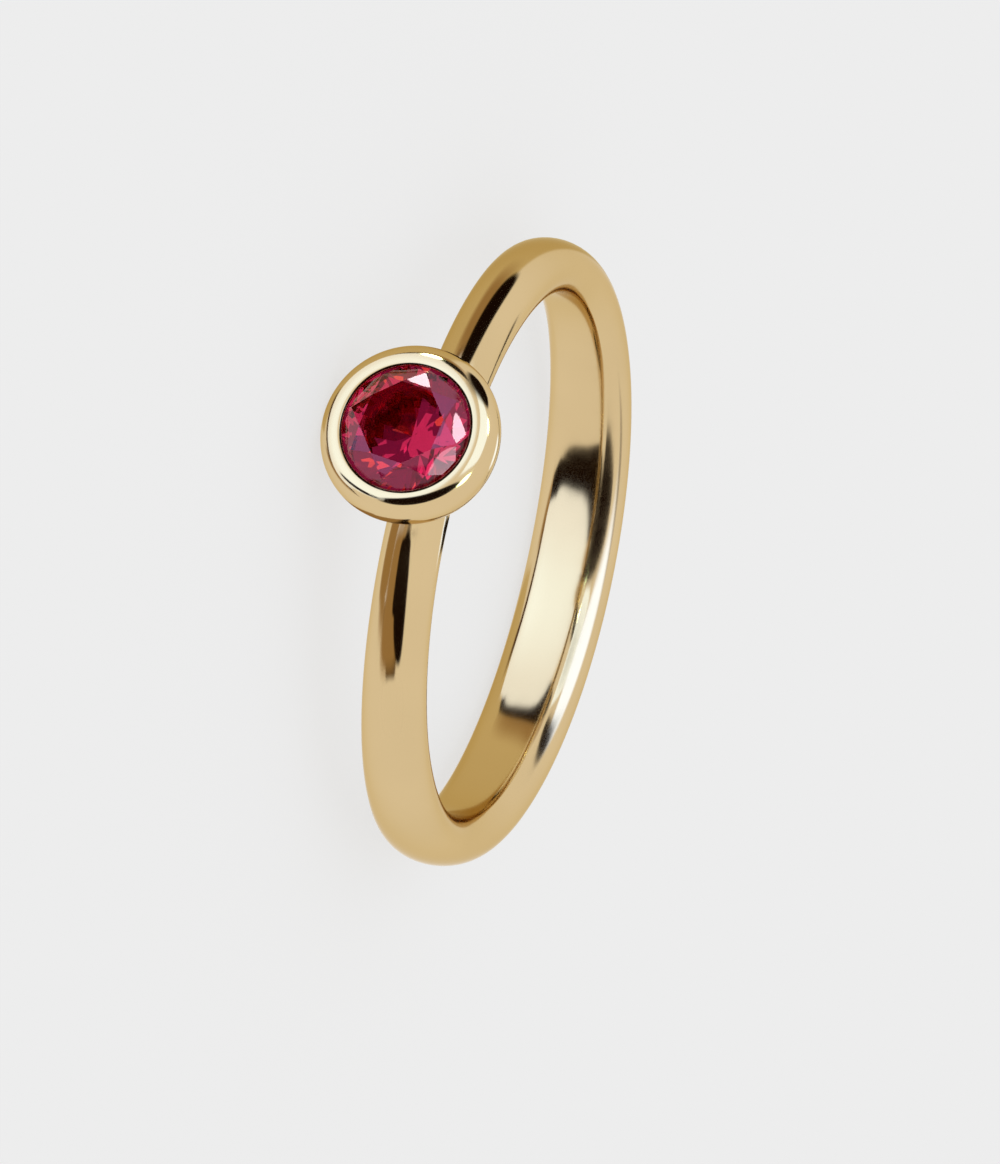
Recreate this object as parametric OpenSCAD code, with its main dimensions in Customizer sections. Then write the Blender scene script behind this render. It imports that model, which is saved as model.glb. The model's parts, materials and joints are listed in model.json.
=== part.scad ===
// Solitaire ring: a round brilliant in a plain cup-shaped bezel on a tapering band.
// The ring lies on its side as it rests by itself: the bezel and the back of the
// band touch the floor at z = 0, and the stone faces -Y and slightly upwards.

/* [Band] */
// Diameter of the finger hole
hole_d = 17; // [15:0.25:21]
// Width of the band beside the stone
front_w = 1.8; // [1.75:0.05:2.1]
// Width of the band at the back
back_w = 3.05; // [2.6:0.05:3.4]
// Thickness of the band beside the stone
front_t = 1.55; // [1.4:0.01:1.65]
// Thickness of the band at the back
back_t = 1.8; // [1.5:0.01:1.82]
// Reach of the band's rounded sides
edge_w = 0.84; // [0.8:0.01:0.86]
// Half height of the band's rounded sides
edge_t = 0.92; // [0.92:0.01:0.96]

/* [Bezel] */
// Radius of the bezel where it is widest
cup_r = 2.7; // [2.6:0.05:2.9]
// Height of the widest line above the finger hole
cup_h = 3.6; // [3.4:0.05:3.9]
// Depth of the bowl below the widest line
bowl_depth = 3; // [2.8:0.05:3.2]
// Roundness of the bowl: 2 is an ellipse and less is straighter
bowl_power = 1.6; // [1.4:0.1:2]
// Height of the shoulder and lip above the widest line
lip_rise = 0.75; // [0.7:0.05:0.85]
// Width of the lip that laps over the stone
lip_w = 0.42; // [0.36:0.02:0.5]
// Roundness of the shoulder between the widest line and the lip
shoulder_power = 2.3; // [2:0.1:3]

/* [Stone] */
// Diameter of the stone at its girdle
stone_d = 4; // [3.8:0.05:4.1]
// Diameter of the table as a share of the girdle
table_share = 0.63; // [0.56:0.01:0.66]
// Height of the crown
crown_h = 0.72; // [0.6:0.02:0.8]
// Depth of the girdle below the lip
girdle_drop = 0.3; // [0.28:0.02:0.36]
// Height of the girdle
girdle_h = 0.1; // [0.06:0.01:0.14]
// Depth of the pavilion
pavilion_h = 1.7; // [1.6:0.02:1.8]
// Turn of the stone in its bezel
stone_turn = 15; // [0:1:45]
// Gap between the stone and the metal
gap = 0.03; // [0.02:0.005:0.04]

/* [Hidden] */
bowl_steps = 12;
shoulder_steps = 8;
hole_r = hole_d / 2;

// Heights along the stone's axis, measured from the centre of the finger hole
widest_h = hole_r + cup_h;
lip_h = widest_h + lip_rise;
stone_r = stone_d / 2;
lip_in_r = stone_r - 0.08;
girdle_top = lip_h - girdle_drop;
girdle_low = girdle_top - girdle_h;
table_top = girdle_top + crown_h;
culet = girdle_low - pavilion_h;
table_r = stone_r * table_share;

// The girdle polygon's corners stand just outside the round girdle
corner_r = stone_r / cos(11.25);
star_r = corner_r * 0.84;
lower_r = corner_r * 0.24;
crown_tan = crown_h / (corner_r - table_r);
star_h = table_top - (star_r * cos(22.5) - table_r) * crown_tan;
pavilion_tan = pavilion_h / corner_r;
lower_h = culet + lower_r * cos(22.5) * pavilion_tan;

// Each half of the band is a ring with one rounded side. The two lie together beside
// the stone, lean apart towards the back, and meet in the middle plane at z = 0.
front_half = front_w / 2 - edge_w;
back_half = back_w / 2 - edge_w;
ring_r = hole_r + (front_t + back_t) / 2 - edge_t;
ring_shift = (back_t - front_t) / 2;
ring_rise = (front_half + back_half) / 2;
lean = atan((back_half - front_half) / (2 * ring_r));

// Outline of the bezel as [radius, height], from its axis at the bottom to the lip
function bowl_point(turn) = [
    cup_r * pow(sin(turn), 2 / bowl_power),
    widest_h - bowl_depth * pow(cos(turn), 2 / bowl_power)
];
crest_r = lip_in_r + lip_w * 0.45;
function shoulder_point(turn) = [
    crest_r + (cup_r - crest_r) * pow(cos(turn), 2 / shoulder_power),
    widest_h + lip_rise * pow(sin(turn), 2 / shoulder_power)
];

// Under the lip the pocket clears the crown's highest ridges
ridge_tan = (star_h - girdle_top) / (corner_r - star_r);
pocket_top = girdle_top + (corner_r - stone_r) * ridge_tan + gap;
lip_low = girdle_top + (corner_r - lip_in_r) * ridge_tan + gap;

// Reach of a rounded side in a direction turned up from the plane of the hole
function reach(turn) = norm([edge_t * cos(turn), edge_w * sin(turn)]);

// Tilt at which the bezel and the back of the band both touch the floor
function bezel_reach(t) = cup_r * cos(t) - widest_h * sin(t);
function back_reach(t) =
    reach(90 - t - lean) + ring_r * sin(t + lean) + ring_shift * sin(t) + ring_rise * cos(t);
function rest_tilt(t, rounds) = rounds == 0 ? t : rest_tilt(
    t + (bezel_reach(t) - back_reach(t)) / (widest_h + ring_r) * 180 / PI, rounds - 1);
tilt = rest_tilt(3, 8);
lift = bezel_reach(tilt);

// Where the ring ends in Y, so that the origin is under the middle of its length
table_low = max([for (k = [0:7]) table_r * -cos(stone_turn + 45 * k)]);
front_y = -table_top * cos(tilt) - table_low * sin(tilt);
back_y =
    reach(tilt - lean) + ring_r * cos(tilt - lean) + ring_shift * cos(tilt) + ring_rise * sin(tilt);

// The ring's own axes are the finger axis along Z and the stone along -Y
module laid_down() {
    translate([0, -(front_y + back_y) / 2, lift])
        rotate([-tilt, 0, 0])
            children();
}

// Turns a shape made on the Z axis so that Z becomes the stone's axis
module along_stone() {
    rotate([90, 0, 0])
        children();
}

module half_band() {
    depth = 3 * ring_rise + 1;
    intersection() {
        translate([0, ring_shift, ring_rise])
            rotate([lean, 0, 0])
                rotate_extrude($fn = 128)
                    union() {
                        translate([ring_r, 0])
                            scale([edge_t / edge_w, 1])
                                circle(r = edge_w, $fn = 64);
                        translate([ring_r - 1.5 * edge_t, -depth])
                            square([2.5 * edge_t, depth]);
                    }
        cylinder(h = back_w, r = 2 * hole_r, $fn = 64);
    }
}

module band() {
    union() {
        half_band();
        mirror([0, 0, 1])
            half_band();
    }
}

module cup() {
    outline = concat(
        [for (i = [0:bowl_steps]) bowl_point(i * 90 / bowl_steps)],
        [for (i = [1:shoulder_steps]) shoulder_point(i * 90 / shoulder_steps)],
        [[lip_in_r, lip_h - 0.04], [0, lip_h - 0.04]]
    );
    along_stone()
        rotate_extrude($fn = 96)
            polygon(outline);
}

// Seat for the stone: a cone under the pavilion, a step at the girdle and the lip
module pocket() {
    along_stone()
        rotate_extrude($fn = 96)
            polygon([
                [0, culet - 3 * gap],
                [stone_r + gap, girdle_low - gap],
                [stone_r + gap, pocket_top],
                [lip_in_r, lip_low],
                [lip_in_r, lip_h + 1],
                [0, lip_h + 1]
            ]);
}

module finger_hole() {
    cylinder(h = 4 * back_w, r = hole_r, center = true, $fn = 128);
}

module band_and_bezel() {
    color([0.83, 0.71, 0.49])
        laid_down()
            difference() {
                union() {
                    band();
                    cup();
                }
                pocket();
                finger_hole();
            }
}

// One facet: keeps what lies on the inner side of the plane through three points
function unit(v) = v / norm(v);
function plane(a, b, c) = let (n = unit(cross(b - a, c - a))) (n * a < 0 ? -n : n);
module facet(a, b, c) {
    shifted = [for (p = [a, b, c]) p - [0, 0, girdle_low]];
    n = plane(shifted[0], shifted[1], shifted[2]);
    size = 4 * stone_d;
    translate([0, 0, girdle_low])
        rotate([0, acos(n[2]), atan2(n[1], n[0])])
            translate([0, 0, n * shifted[0] - size / 2])
                cube(size, center = true);
}

// Corners of the cut, counted round the stone in steps of 45 degrees
function polar(r, angle, h) = [r * cos(angle), r * sin(angle), h];
function table_corner(k) = polar(table_r, 45 * k, table_top);
function girdle_corner(k, h) = polar(corner_r, 45 * k, h);
function star_corner(k) = polar(star_r, 45 * k + 22.5, star_h);
function lower_corner(k) = polar(lower_r, 45 * k + 22.5, lower_h);

module table_facet() {
    facet(table_corner(0), table_corner(1), table_corner(2));
}

module crown_facets(k) {
    intersection() {
        facet(table_corner(k), girdle_corner(k, girdle_top), star_corner(k));
        facet(table_corner(k), table_corner(k + 1), star_corner(k));
        facet(star_corner(k), girdle_corner(k, girdle_top), girdle_corner(k + 0.5, girdle_top));
        facet(star_corner(k), girdle_corner(k + 0.5, girdle_top), girdle_corner(k + 1, girdle_top));
    }
}

module pavilion_facets(k) {
    intersection() {
        facet([0, 0, culet], girdle_corner(k, girdle_low), lower_corner(k));
        facet(lower_corner(k), girdle_corner(k, girdle_low), girdle_corner(k + 0.5, girdle_low));
        facet(lower_corner(k), girdle_corner(k + 0.5, girdle_low), girdle_corner(k + 1, girdle_low));
    }
}

module stone() {
    color([0.62, 0.05, 0.22])
        laid_down()
            along_stone()
                rotate([0, 0, stone_turn - 90])
                    intersection() {
                        translate([0, 0, culet - 1])
                            cylinder(h = table_top - culet + 2, r = stone_r, $fn = 96);
                        table_facet();
                        intersection_for (k = [0:7]) {
                            crown_facets(k);
                        }
                        intersection_for (k = [0:7]) {
                            pavilion_facets(k);
                        }
                    }
}

band_and_bezel();
stone();
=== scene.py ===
"""Looks for a bezel-set solitaire ring that lies on its side on a pale floor.

Named lengths are in metres and named angles in degrees, unless a comment says otherwise.
The metal's functions take radians, and the cards' functions take degrees.
"""

import json
import math

import bmesh
import bpy
import numpy as np
from mathutils import Matrix, Vector


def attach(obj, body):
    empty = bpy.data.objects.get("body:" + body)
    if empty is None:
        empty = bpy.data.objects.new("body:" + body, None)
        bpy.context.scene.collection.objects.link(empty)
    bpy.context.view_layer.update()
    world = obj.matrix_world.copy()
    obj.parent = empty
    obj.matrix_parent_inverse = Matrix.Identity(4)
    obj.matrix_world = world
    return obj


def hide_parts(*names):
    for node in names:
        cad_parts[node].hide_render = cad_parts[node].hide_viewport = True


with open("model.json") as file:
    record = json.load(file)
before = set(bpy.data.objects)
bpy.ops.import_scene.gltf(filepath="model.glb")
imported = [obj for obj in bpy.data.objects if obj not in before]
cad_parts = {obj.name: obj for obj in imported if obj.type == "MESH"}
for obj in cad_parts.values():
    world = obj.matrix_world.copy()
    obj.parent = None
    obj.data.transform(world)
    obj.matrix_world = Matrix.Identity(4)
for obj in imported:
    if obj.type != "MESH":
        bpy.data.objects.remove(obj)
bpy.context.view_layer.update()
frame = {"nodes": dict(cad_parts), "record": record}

# The finger hole gives the ring's size, and its centre and lean as it lies
MM = 0.001
bore = frame["record"]["mounts"][0]
HOLE_R = bore["dims"]["r_mm"] * MM
RING_CENTRE = Vector(bore["pos_m"])
LEAN = math.atan2(bore["axis"][1], bore["axis"][2])
LAID_DOWN = Matrix.Translation(RING_CENTRE) @ Matrix.Rotation(-LEAN, 4, "X")

# Band: its width, thickness and the width of its inside, beside the stone and at the back
FRONT_W, BACK_W = 0.0018, 0.00305
FRONT_T, BACK_T = 0.00155, 0.0018
FRONT_FLAT, BACK_FLAT = 0.0010, 0.00165
# The round creases at the edges of the inside, and how the inside widens towards them
CREASE = 0.00010
FLARE, FLARE_POWER = 0.000028, 4

# Bezel: heights are measured along the stone's axis from the ring's centre
CUP_R = 0.0027
WIDEST_H = HOLE_R + 0.0036
LIP_H = WIDEST_H + 0.00070
BOWL_DEPTH, BOWL_POWER = 0.0030, 1.6
SHOULDER_POWER = 2.1
CREST_R, LIP_IN_R = 0.00208, 0.00192
LIP_ROUND = 0.00006
# Reach of the hollow blend between the band and the bowl
FILLET = 0.0009

# Pocket for the stone: the lip's underside, a short wall and a cone
LIP_LOW_H = WIDEST_H + 0.00051
POCKET_R = 0.00203
POCKET_TOP_H, POCKET_LOW_H = WIDEST_H + 0.00043, WIDEST_H + 0.00032
POCKET_POINT_H = 0.01066
# Shares of the way down the cone where it has points
CONE_SHARES = (0.34, 0.67, 1.0)

# Patch that blends the band into the bowl: its reach each way round the finger and up the bowl
PATCH_ANGLE = 20
PATCH_TOP_TURN = 54
PATCH_STATIONS, PATCH_ROWS = 52, 24
# The turn of its upper edge that lets its columns run straight
PATCH_TWIST = 28
# Rounds that spread its points evenly over the metal, and last steps that bring them onto it
SPREAD_ROUNDS, LAST_STEPS = 240, 8
# The bowl's points end just under its rim, where the shoulder starts
BOWL_END_TURN = 89.5

# How finely the rest of the metal is divided
BACK_STATIONS = 168
SIDE_POINTS, CREASE_POINTS, INSIDE_POINTS = 32, 4, 10
BOWL_POINTS, SHOULDER_POINTS, LIP_POINTS = 14, 17, 7
# Points closer than this become one
WELD = 2e-8

# Gold: two tones and the span of noise between them, its tint at grazing angles, its roughness
GOLD_TONES = (0.65, 0.485, 0.258), (0.68, 0.51, 0.275)
GOLD_TONE_SPAN = (0.3, 0.7)
GOLD_GRAZING = (0.80, 0.70, 0.52, 1)
GOLD_ROUGHNESS = (0.08, 0.15)

# Stone: two reds and the span of noise between them, the tint of what it mirrors, its refraction
STONE_TONES = (0.60, 0.015, 0.08), (0.75, 0.030, 0.11)
STONE_TONE_SPAN = (0.0, 1.0)
STONE_GLOSS = (0.85, 0.40, 0.55, 1)
STONE_IOR = 1.77

# Floor: its tone, and the share of that tone that it gives off by itself
FLOOR_SIZE = 4.0
FLOOR_TONE, FLOOR_GLOW = 0.847, 0.78

# Cards that the gold mirrors: the blue in the bright ones keeps them near white in it
BLACK = (0.010, 0.004, 0.002)
DARK = (0.10, 0.05, 0.02)
BROWN = (0.42, 0.28, 0.13)
SHADE = (0.75, 0.65, 0.40)
PAPER = (1.0, 1.0, 1.0)
BOX = (1.28, 1.52, 2.1)
GLOW = (1.45, 1.85, 2.7)
WHITE = (1.6, 2.1, 3.6)

# Glints on the stone: their green makes up for the facets' pink tint
GLINT = (14, 19, 16)
PALE = (4.7, 7.5, 6.2)

# Light that comes out through the stone
STONE_FILL = (0.27, 0.22, 0.32)
STONE_ROSE = (1.3, 1.0, 1.2)
STONE_PINK = (1.4, 6.0, 2.6)
STONE_WARM = (1.2, 2.0, 0.5)

# Points along each side of a card
CARD_POINTS = 25
# Plane close before the stone, in mm, where the bezel's and the facets' cards hang
FRONT_Y = -12.6

# Camera: the photograph's viewpoint, measured from the ring's centre, and its lens in mm
CAMERA_PLACE = (0.03161991, -0.12875181, 0.04498999)
CAMERA_TURN = (-29.97201, -68.36098, 135.21243)
CAMERA_LENS = 135.865
CAMERA_CLIP = (0.01, 20)


def mix(a, b, share):
    return a + (b - a) * share


def round_finger(angle, r, z):
    """Points in the ring's own frame: Z is the finger axis, and angle 0 is -Y, at the stone."""
    return np.stack(np.broadcast_arrays(r * np.sin(angle), -r * np.cos(angle), z), -1)


def band_sizes(angle):
    """Width, thickness and width of the inside, which all grow towards the back."""
    share = (1 - np.cos(angle)) / 2
    return (
        mix(FRONT_W, BACK_W, share),
        mix(FRONT_T, BACK_T, share),
        mix(FRONT_FLAT, BACK_FLAT, share),
    )


def under_curve(width, thickness, flat):
    """Half height of the ellipse below the band's widest line, and where it meets the hole."""
    turn = np.arccos(flat / width)
    return thickness / 2 / np.sin(turn), turn


def outer_points(angle):
    """Points over the band's outside at each angle, from one crease to the other."""
    width, thickness, flat = band_sizes(angle)
    below, crease_turn = under_curve(width, thickness, flat)
    start = crease_turn - CREASE / below
    turn = mix(-start[:, None], (math.pi + start)[:, None], np.linspace(0, 1, SIDE_POINTS + 1))
    height = np.where(turn % math.tau < math.pi, (thickness / 2)[:, None], below[:, None])
    r = (HOLE_R + thickness / 2)[:, None] + height * np.sin(turn)
    return round_finger(angle[:, None], r, -(width / 2)[:, None] * np.cos(turn))


def crease_points(start, bend, end):
    """Points on a small curve from start to end, pulled towards the bend."""
    share = np.linspace(0, 1, CREASE_POINTS + 1)[None, :, None]
    return (
        start[:, None] * (1 - share) ** 2
        + bend[:, None] * 2 * share * (1 - share)
        + end[:, None] * share**2
    )


def inner_points(angle, outer):
    """Points from the outside's last point, over both creases and the inside between them."""
    flat = band_sizes(angle)[2] / 2
    near = round_finger(angle, HOLE_R + FLARE, flat)
    far = round_finger(angle, HOLE_R + FLARE, -flat)
    across = (flat - CREASE)[:, None] * np.cos(np.linspace(0, math.pi, INSIDE_POINTS + 1))
    r = HOLE_R + FLARE * np.abs(across / flat[:, None]) ** FLARE_POWER
    inside = round_finger(angle[:, None], r, across)
    return np.concatenate(
        [
            crease_points(outer[:, -1], near, inside[:, 0]),
            inside[:, 1:-1],
            crease_points(inside[:, -1], far, outer[:, 0]),
        ],
        axis=1,
    )


def band_distance(p):
    """Signed distance, close to the surface, from the band without its hole."""
    angle = np.arctan2(p[..., 0], -p[..., 1])
    width, thickness, flat = band_sizes(angle)
    below = under_curve(width, thickness, flat)[0]
    r = np.hypot(p[..., 0], p[..., 1]) - HOLE_R - thickness / 2
    height = np.where(r > 0, thickness / 2, below)
    across, along = p[..., 2] / (width / 2), r / height
    level = np.hypot(across, along)
    slope = np.hypot(across / (width / 2), along / height) / level
    return (level - 1) / slope


def bowl_distance(p):
    """Signed distance, close to the surface, from the bezel's bowl."""
    tiny = 1e-9
    r = np.hypot(p[..., 0], p[..., 2]) / CUP_R
    down = np.maximum(WIDEST_H + p[..., 1], tiny) / BOWL_DEPTH
    total = r**BOWL_POWER + down**BOWL_POWER
    slope = total ** (1 / BOWL_POWER - 1) * np.hypot(
        r ** (BOWL_POWER - 1) / CUP_R, down ** (BOWL_POWER - 1) / BOWL_DEPTH
    )
    return (total ** (1 / BOWL_POWER) - 1) / slope


def metal_distance(p):
    """The band and the bowl joined with a smooth fillet."""
    a, b = band_distance(p), bowl_distance(p)
    near = np.maximum(FILLET - np.abs(a - b), 0) / FILLET
    return np.minimum(a, b) - near**3 * FILLET / 6


def onto_metal(p, rounds):
    """Points moved towards the metal along the slope of the distance, a step each round."""
    step, least_slope = 1e-7, 0.1
    for _ in range(rounds):
        rise = [
            metal_distance(p + step * axis) - metal_distance(p - step * axis) for axis in np.eye(3)
        ]
        slope = np.stack(rise, -1) / (2 * step)
        steepness = np.maximum((slope**2).sum(-1), least_slope)
        p = p - slope * (metal_distance(p) / steepness)[..., None]
    return p


def bowl_curve(turn):
    """Radius and height on the bowl, from its bottom to its rim at a quarter turn."""
    power = 2 / BOWL_POWER
    return CUP_R * np.sin(turn) ** power, WIDEST_H - BOWL_DEPTH * np.cos(turn) ** power


def shoulder_curve(turn):
    """Radius and height from the rim over the shoulder to the lip's crest at a quarter turn."""
    power = 2 / SHOULDER_POWER
    return (
        CREST_R + (CUP_R - CREST_R) * np.abs(np.cos(turn)) ** power,
        WIDEST_H + (LIP_H - WIDEST_H) * np.sin(turn) ** power,
    )


def lip_curve(turn):
    """Radius and height from the crest at a quarter turn to the lip's inner edge at half a turn."""
    return (
        CREST_R + (CREST_R - LIP_IN_R) * np.cos(turn),
        LIP_H - LIP_ROUND + LIP_ROUND * np.sin(turn),
    )


def bezel_profile():
    """Radius and height from the top of the patch over the lip and down into the pocket."""
    bowl_turn = np.radians(np.linspace(PATCH_TOP_TURN, BOWL_END_TURN, BOWL_POINTS))
    shoulder_turn = np.radians(np.linspace(0, 90, SHOULDER_POINTS))
    lip_turn = np.radians(np.linspace(90, 180, LIP_POINTS))[1:]
    pocket = [(LIP_IN_R, LIP_LOW_H), (POCKET_R, POCKET_TOP_H), (POCKET_R, POCKET_LOW_H)]
    for share in CONE_SHARES:
        pocket.append((POCKET_R * (1 - share), mix(POCKET_LOW_H, POCKET_POINT_H, share)))
    return np.concatenate(
        [
            np.stack(bowl_curve(bowl_turn), -1),
            np.stack(shoulder_curve(shoulder_turn), -1),
            np.stack(lip_curve(lip_turn), -1),
            np.array(pocket),
        ]
    )


def edge_loop(outer):
    """The four edges of a grid of points as one loop, with each point once."""
    return np.concatenate([outer[:-1, 0], outer[-1, :-1], outer[:0:-1, -1], outer[0, :0:-1]])


def patch_sheet(loop, turn):
    """Rows of points over the metal, from the loop on the band up to a ring on the bowl."""
    r, h = bowl_curve(math.radians(PATCH_TOP_TURN))
    ring = np.stack([r * np.cos(turn), np.full(len(turn), -h), r * np.sin(turn)], -1)
    share = np.linspace(0, 1, PATCH_ROWS + 1)[:, None, None]
    rows = mix(loop[None], ring[None], share)
    for _ in range(SPREAD_ROUNDS):
        beside = np.roll(rows, 1, 1)[1:-1] + np.roll(rows, -1, 1)[1:-1]
        rows[1:-1] = onto_metal((rows[:-2] + rows[2:] + beside) / 4, 1)
    rows[1:-1] = onto_metal(rows[1:-1], LAST_STEPS)
    return np.concatenate([rows, rows[:, :1]], axis=1)


def bezel_sheet(turn):
    """The bezel's profile turned round the stone's axis, closed at the first turn."""
    profile = bezel_profile()
    turn = np.append(turn, turn[0])
    return np.stack(
        [
            profile[:, :1] * np.cos(turn),
            np.repeat(-profile[:, 1:], len(turn), 1),
            profile[:, :1] * np.sin(turn),
        ],
        -1,
    )


def metal_sheets():
    """Grids of points that together close round the metal."""
    patch = math.radians(PATCH_ANGLE)
    front = np.linspace(-patch, patch, PATCH_STATIONS + 1)
    back = np.linspace(patch, math.tau - patch, BACK_STATIONS + 1)
    outer_front, outer_back = outer_points(front), outer_points(back)
    loop = edge_loop(outer_front)
    first = math.atan2(loop[0, 2], loop[0, 0]) + math.radians(PATCH_TWIST)
    turn = first + math.tau * np.arange(len(loop)) / len(loop)
    return [
        outer_back,
        inner_points(back, outer_back),
        inner_points(front, outer_front),
        patch_sheet(loop, turn),
        bezel_sheet(turn),
    ]


def mesh_from_sheets(name, sheets):
    """One smooth mesh from grids of points whose edges meet."""
    made = bmesh.new()
    for sheet in sheets:
        rows, columns = sheet.shape[:2]
        verts = [[made.verts.new(p) for p in row] for row in sheet]
        for i in range(rows - 1):
            for j in range(columns - 1):
                made.faces.new(
                    (verts[i][j], verts[i][j + 1], verts[i + 1][j + 1], verts[i + 1][j])
                )
    bmesh.ops.remove_doubles(made, verts=made.verts, dist=WELD)
    bmesh.ops.dissolve_degenerate(made, edges=made.edges, dist=WELD)
    bmesh.ops.recalc_face_normals(made, faces=made.faces)
    mesh = bpy.data.meshes.new(name)
    made.to_mesh(mesh)
    made.free()
    mesh.shade_smooth()
    return mesh


def new_material(name):
    """A material with its nodes and links."""
    material = bpy.data.materials.new(name)
    material.use_nodes = True
    return material, material.node_tree.nodes, material.node_tree.links


def add_noise(nodes, links, scale, detail):
    """Noise that stays in its place on the object."""
    place = nodes.new("ShaderNodeTexCoord")
    noise = nodes.new("ShaderNodeTexNoise")
    noise.inputs["Scale"].default_value = scale
    noise.inputs["Detail"].default_value = detail
    links.new(place.outputs["Object"], noise.inputs["Vector"])
    return noise.outputs["Fac"]


def vary_colour(nodes, links, noise, tones, span):
    """A base colour that drifts from the first tone to the second over the span of the noise."""
    ramp = nodes.new("ShaderNodeValToRGB")
    for element, tone, position in zip(ramp.color_ramp.elements, tones, span):
        element.position = position
        element.color = (*tone, 1)
    links.new(noise, ramp.inputs["Fac"])
    links.new(ramp.outputs["Color"], nodes["Principled BSDF"].inputs["Base Color"])


def add_math(nodes, links, operation, first, second=None):
    """Result of a maths node on a socket and, where given, a second socket or a number."""
    node = nodes.new("ShaderNodeMath")
    node.operation = operation
    links.new(first, node.inputs[0])
    if isinstance(second, bpy.types.NodeSocket):
        links.new(second, node.inputs[1])
    elif second is not None:
        node.inputs[1].default_value = second
    return node.outputs["Value"]


def blend_shaders(nodes, links, first, second):
    """Makes a blend of two shaders the surface, and gives back the socket for its share."""
    blend = nodes.new("ShaderNodeMixShader")
    links.new(first, blend.inputs[1])
    links.new(second, blend.inputs[2])
    links.new(blend.outputs["Shader"], nodes["Material Output"].inputs["Surface"])
    return blend.inputs["Fac"]


def gold_material():
    """Polished yellow gold with fine polishing marks and a faint change of tone."""
    material, nodes, links = new_material("yellow_gold")
    shader = nodes["Principled BSDF"]
    shader.inputs["Metallic"].default_value = 1.0
    shader.inputs["Specular Tint"].default_value = GOLD_GRAZING
    tone = add_noise(nodes, links, scale=260, detail=2)
    vary_colour(nodes, links, tone, GOLD_TONES, GOLD_TONE_SPAN)

    rough = nodes.new("ShaderNodeMapRange")
    rough.inputs["To Min"].default_value = GOLD_ROUGHNESS[0]
    rough.inputs["To Max"].default_value = GOLD_ROUGHNESS[1]
    links.new(add_noise(nodes, links, scale=1800, detail=4), rough.inputs["Value"])
    links.new(rough.outputs["Result"], shader.inputs["Roughness"])
    return material


def stone_material():
    """Clear deep red corundum."""
    material, nodes, links = new_material("red_stone")
    shader = nodes["Principled BSDF"]
    shader.inputs["Transmission Weight"].default_value = 1.0
    shader.inputs["IOR"].default_value = STONE_IOR
    shader.inputs["Specular Tint"].default_value = STONE_GLOSS
    shader.inputs["Roughness"].default_value = 0.0
    tone = add_noise(nodes, links, scale=420, detail=2)
    vary_colour(nodes, links, tone, STONE_TONES, STONE_TONE_SPAN)
    return material


def floor_material():
    """Pale paper, lit from below as well, so that only a faint shadow is left on it."""
    material, nodes, links = new_material("floor")
    paper = nodes["Principled BSDF"]
    paper.inputs["Base Color"].default_value = (FLOOR_TONE, FLOOR_TONE, FLOOR_TONE, 1)
    paper.inputs["Roughness"].default_value = 0.9
    paper.inputs["Specular IOR Level"].default_value = 0.0
    glow = nodes.new("ShaderNodeEmission")
    glow.inputs["Strength"].default_value = FLOOR_TONE
    share = blend_shaders(nodes, links, paper.outputs["BSDF"], glow.outputs["Emission"])
    share.default_value = FLOOR_GLOW
    return material


def edge_fade(nodes, links, soft, power):
    """1 in the middle of a card and 0 at its edge. A power of 2 is round and more is squarer."""
    reach = nodes.new("ShaderNodeAttribute")
    reach.attribute_name = "reach"
    parts = nodes.new("ShaderNodeSeparateXYZ")
    links.new(reach.outputs["Vector"], parts.inputs["Vector"])
    raised = []
    for axis in ("X", "Y"):
        size = add_math(nodes, links, "ABSOLUTE", parts.outputs[axis])
        raised.append(add_math(nodes, links, "POWER", size, power))
    total = add_math(nodes, links, "ADD", *raised)
    fade = nodes.new("ShaderNodeMapRange")
    fade.interpolation_type = "SMOOTHSTEP"
    fade.inputs["From Min"].default_value = 1 - soft
    fade.inputs["From Max"].default_value = 1
    fade.inputs["To Min"].default_value = 1
    fade.inputs["To Max"].default_value = 0
    links.new(add_math(nodes, links, "POWER", total, 1 / power), fade.inputs["Value"])
    return fade.outputs["Result"]


def card_material(name, colour, soft, power):
    """Light that fades out to nothing at the card's edge."""
    material, nodes, links = new_material(name)
    nodes.remove(nodes["Principled BSDF"])
    glow = nodes.new("ShaderNodeEmission")
    strength = max(colour)
    glow.inputs["Color"].default_value = (*(part / strength for part in colour), 1)
    glow.inputs["Strength"].default_value = strength
    clear = nodes.new("ShaderNodeBsdfTransparent")
    share = blend_shaders(nodes, links, clear.outputs["BSDF"], glow.outputs["Emission"])
    links.new(edge_fade(nodes, links, soft, power), share)
    return material


def build_metal():
    mesh = mesh_from_sheets("ring_metal", metal_sheets())
    mesh.transform(LAID_DOWN)
    ring = bpy.data.objects.new("ring_metal", mesh)
    bpy.context.scene.collection.objects.link(ring)
    mesh.materials.append(gold_material())
    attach(ring, "root")
    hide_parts("band_and_bezel")


def build_stone():
    material = stone_material()
    for slot in frame["nodes"]["stone"].material_slots:
        slot.material = material


def build_floor():
    bpy.ops.mesh.primitive_plane_add(size=FLOOR_SIZE)
    floor = bpy.context.object
    floor.name = "floor"
    floor.data.materials.append(floor_material())
    floor.visible_glossy = False


def card_grid():
    """Reach across and up a card, from -1 to 1."""
    return np.meshgrid(np.linspace(-1, 1, CARD_POINTS), np.linspace(-1, 1, CARD_POINTS))


def middle(span):
    """Middle and half length of a span."""
    return (span[0] + span[1]) / 2, (span[1] - span[0]) / 2


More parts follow.
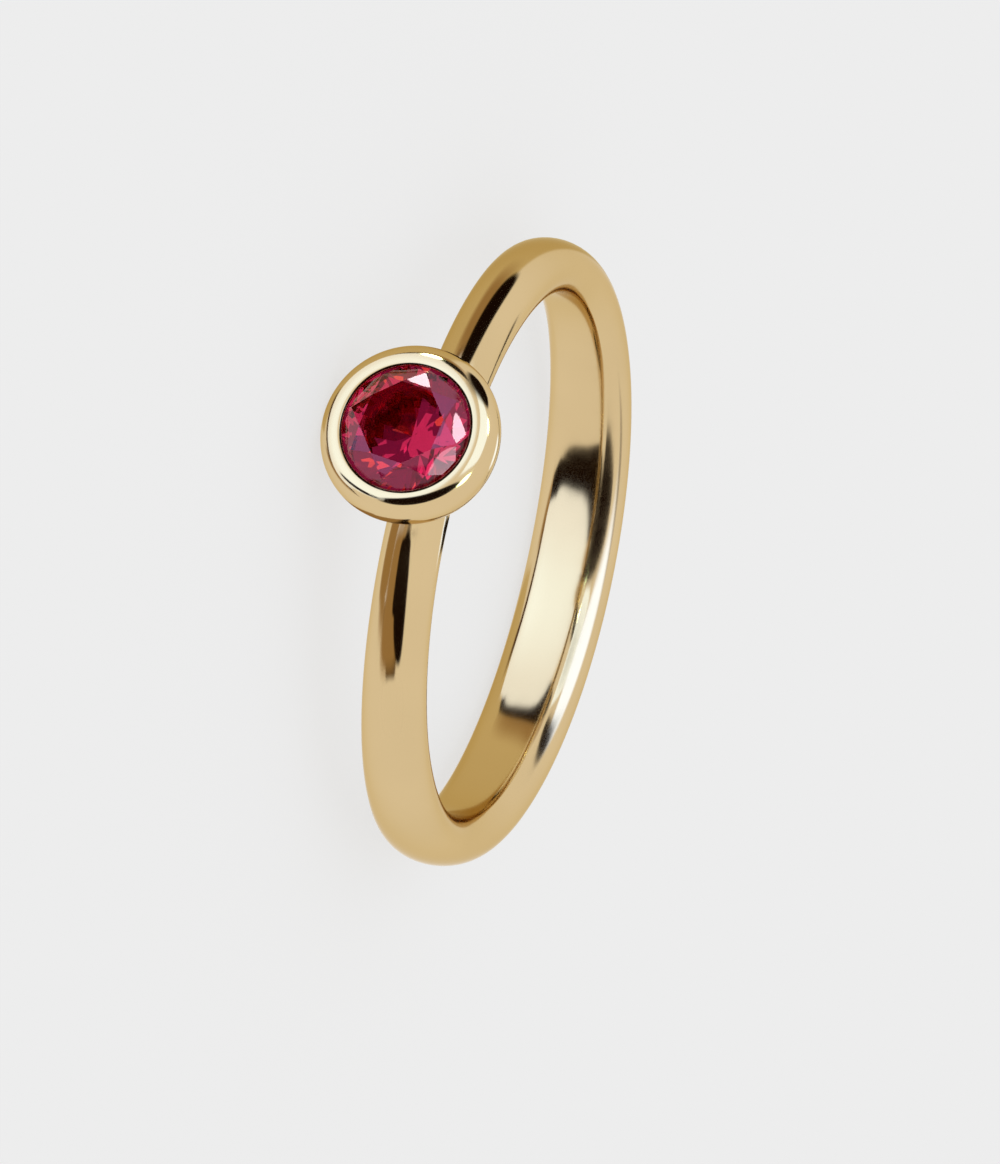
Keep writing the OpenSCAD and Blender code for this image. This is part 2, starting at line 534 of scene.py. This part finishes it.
def add_card(name, points, colour, soft, power, through_stone=False):
    """A studio card from a grid of points, which shows in reflections or through the stone."""
    rows, columns = points.shape[:2]
    faces = [
        (i * columns + j, i * columns + j + 1, (i + 1) * columns + j + 1, (i + 1) * columns + j)
        for i in range(rows - 1)
        for j in range(columns - 1)
    ]
    mesh = bpy.data.meshes.new(name)
    mesh.from_pydata(points.reshape(-1, 3).tolist(), [], faces)
    across, up = card_grid()
    reach = mesh.attributes.new("reach", "FLOAT_VECTOR", "POINT")
    reach.data.foreach_set("vector", np.stack([across, up, np.zeros_like(up)], -1).ravel())
    mesh.materials.append(card_material(name, colour, soft, power))
    card = bpy.data.objects.new(name, mesh)
    bpy.context.scene.collection.objects.link(card)
    card.visible_camera = False
    card.visible_diffuse = False
    card.visible_shadow = False
    card.visible_glossy = not through_stone
    card.visible_transmission = through_stone


def ball_points(azimuth, elevation, radius, slope=0):
    """Points on a ball round the ring. Azimuth 0 is towards -Y and 90 towards +X."""
    across, up = card_grid()
    a, half_a = middle(np.radians(azimuth))
    e, half_e = middle(np.radians(elevation))
    a = a + half_a * across + math.radians(slope) * up
    e = e + half_e * up
    way = np.stack([np.sin(a) * np.cos(e), -np.cos(a) * np.cos(e), np.sin(e)], -1)
    return np.array(RING_CENTRE) + radius * way


def sky_card(name, azimuth, elevation, colour, soft=0.1, power=4, radius=0.7, slope=0):
    """A card far away that shows in reflections. A smaller radius puts it before others."""
    add_card(name, ball_points(azimuth, elevation, radius, slope), colour, soft, power)


def stone_card(name, azimuth, elevation, colour, soft=0.1, power=4, radius=0.9):
    """A card far away whose light only comes out through the stone."""
    points = ball_points(azimuth, elevation, radius)
    add_card(name, points, colour, soft, power, through_stone=True)


def round_card(name, angle, height, colour, soft=0.2, power=3, radius=0.011, slope=0):
    """A card bent round the finger axis close outside the band. Height and slope are in mm."""
    across, up = card_grid()
    a, half_a = middle(np.radians(angle))
    z, half_z = middle(np.array(height) * MM)
    points = np.stack(
        [
            radius * np.sin(a + half_a * across),
            RING_CENTRE[1] - radius * np.cos(a + half_a * across),
            z + half_z * up + slope * MM * across,
        ],
        -1,
    )
    add_card(name, points, colour, soft, power)


def flat_card(name, centre, half_across, half_up, colour, soft=0.2, power=3):
    """A flat card from its centre and half of each of its sides, in mm."""
    across, up = card_grid()
    points = centre + across[..., None] * half_across + up[..., None] * half_up
    add_card(name, points * MM, colour, soft, power)


def build_sky_cards():
    """The far studio, from back to front: warm shade, dark gaps and a tall box of soft light."""
    sky_card("shade_left", (-165, -47), (-88, 2), SHADE, radius=0.95)
    sky_card("brown_left", (-80, -44), (-26, 14), BROWN, soft=0.7, power=2, radius=0.94)
    sky_card("brown_right", (8, 66), (-88, -24), BROWN, soft=0.6, power=2.5, radius=0.90)
    sky_card("gap_low", (-90, 50), (-74, -58), DARK, soft=0.5, power=3, radius=0.80)
    sky_card("gap_right", (20, 62), (-46, 4), BLACK, soft=0.06, power=2, radius=0.79)
    sky_card("gap_right_top", (18, 71.5), (-24, 9), BLACK, soft=0.08, power=2.5, radius=0.78, slope=3)
    sky_card("gap_left", (-62, -38), (-32, 9), BLACK, power=2.6, radius=0.77)
    sky_card("box_under", (-57.5, 43.5), (-62, -14), BOX, soft=0.05, power=5, radius=0.71, slope=2.5)
    sky_card("box_low", (-57, 49.5), (-29, -3), BOX, soft=0.05, power=2.1, radius=0.70)
    sky_card("box_glow", (-48, 40), (-62, 12), GLOW, soft=0.9, power=2, radius=0.69)
    sky_card("box_high", (-56, 7), (12, 60), GLOW, radius=0.68)


def build_band_cards():
    """Cards close to the front of the band. A flag is a black card that leaves a dark mark."""
    round_card("brown_near_left", (-60, -14), (1.0, 2.9), BROWN, soft=0.7, radius=0.0111)
    round_card(
        "brown_near_right", (8, 44.5), (0.8, 3.0), BROWN, soft=0.4, power=4, radius=0.0111, slope=0.25
    )
    round_card("paper_near", (40.5, 56), (1.6, 3.9), PAPER, soft=0.3, radius=0.01105)
    flat_card(
        "brown_under", (3.2, -8.65, 0.75), (2.1, 0.66, 0), (0.24, -0.76, 0), BROWN, soft=0.3, power=4
    )
    round_card("flag_left", (-53, -14), (2.2, 3.4), BLACK, power=2.4)
    round_card("flag_right", (14, 30), (2.0, 2.98), BLACK, soft=0.15, power=6, slope=0.1)
    round_card("flag_right_tip", (12, 40), (2.2, 3.3), BLACK, soft=0.15, power=2, slope=0.35)
    round_card("flag_rim", (-30, -6), (4.6, 7.2), BLACK, power=2.5, radius=0.013, slope=-1.2)


def build_bezel_cards():
    """Two flags before the bezel, for its shoulder and lip, and paper behind them."""
    paper_centre = (5.4, FRONT_Y - 0.1, 2.2)
    flat_card("paper_bezel", paper_centre, (2.6, 0, 0), (0, 0, 2.4), PAPER, soft=0.1, power=6)
    flat_card("flag_bezel", (2.6, FRONT_Y, 4.2), (0.82, 0, 0.4), (-0.5, 0, 2.3), BLACK, power=2.2)
    flat_card("flag_lip", (2.48, FRONT_Y, 1.0), (0.24, 0, -0.06), (0.28, 0, 1.35), BLACK, soft=0.3)


def build_top_cards():
    """A flag that stands in the ring's opening, and a flag and a light above the ring."""
    flat_card(
        "flag_top",
        centre=(-0.408, 2.704, 6.382),
        half_across=(0.588, -4.704, -0.882),
        half_up=(-0.24, 1.6, 4.5),
        colour=BLACK,
        soft=0.04,
        power=8,
    )
    flat_card("flag_tail", (-7.4, 7.0, 12), (5.2, 5.9, 0), (-1.3, 1.1, 0), BLACK, soft=0.35, power=2.5)
    flat_card("white_top", (-4.8, 7.5, 16), (4.8, 0, 0), (0, 6.5, 0), WHITE, soft=0.35, power=2.5)


def build_facet_cards():
    """A flag that darkens the stone's table, and small lights for glints on its facets."""
    flat_card("flag_table", (-0.22, FRONT_Y, 2.54), (1.4, 0, 0), (0, 0, 1.4), BLACK, soft=0.1)
    flat_card("glint_star", (-4.3, FRONT_Y, 2.4), (0.6, 0, 0), (0, 0, 0.5), GLINT, soft=0.1)
    flat_card("glint_side", (-2.9, FRONT_Y, 9.0), (0.65, 0, 0), (0, 0, 1.0), GLINT, soft=0.1)
    # This one hangs nearer, before the tip of flag_bezel
    flat_card("glint_low", (2.1, FRONT_Y + 0.02, 7.15), (0.6, 0, 0), (0, 0, 0.9), PALE, soft=0.1)


def build_stone_cards():
    """What lights the stone from inside: a dim fill all round and four brighter patches."""
    stone_card("stone_fill", (-179, 179), (-89, 89), STONE_FILL, soft=0.01, power=40, radius=0.96)
    stone_card("stone_high", (-50, -30), (20, 55), STONE_ROSE)
    stone_card("stone_low", (12, 50), (-40, -2), STONE_PINK)
    stone_card("stone_spot", (-24, -14), (-14, 0), STONE_PINK)
    stone_card("stone_warm", (-5, 14), (24, 40), STONE_WARM)


def build_world():
    """White all round, but not for what is seen through the stone."""
    world = bpy.data.worlds.new("studio")
    world.use_nodes = True
    background = world.node_tree.nodes["Background"]
    background.inputs["Color"].default_value = (1, 1, 1, 1)
    background.inputs["Strength"].default_value = 1.0
    world.cycles_visibility.transmission = False
    bpy.context.scene.world = world


def build_camera():
    data = bpy.data.cameras.new("camera")
    data.lens = CAMERA_LENS
    data.clip_start, data.clip_end = CAMERA_CLIP
    camera = bpy.data.objects.new("camera", data)
    bpy.context.scene.collection.objects.link(camera)
    camera.location = RING_CENTRE + Vector(CAMERA_PLACE)
    camera.rotation_euler = [math.radians(a) for a in CAMERA_TURN]
    bpy.context.scene.camera = camera


def set_view():
    """Colours without a film look, and enough bounces for the light inside the stone."""
    scene = bpy.context.scene
    scene.view_settings.view_transform = "Standard"
    scene.cycles.max_bounces = 24
    scene.cycles.transmission_bounces = 24
    scene.cycles.glossy_bounces = 12


build_metal()
build_stone()
build_floor()
build_world()
build_sky_cards()
build_band_cards()
build_bezel_cards()
build_top_cards()
build_facet_cards()
build_stone_cards()
build_camera()
set_view()

bpy.context.view_layer.update()
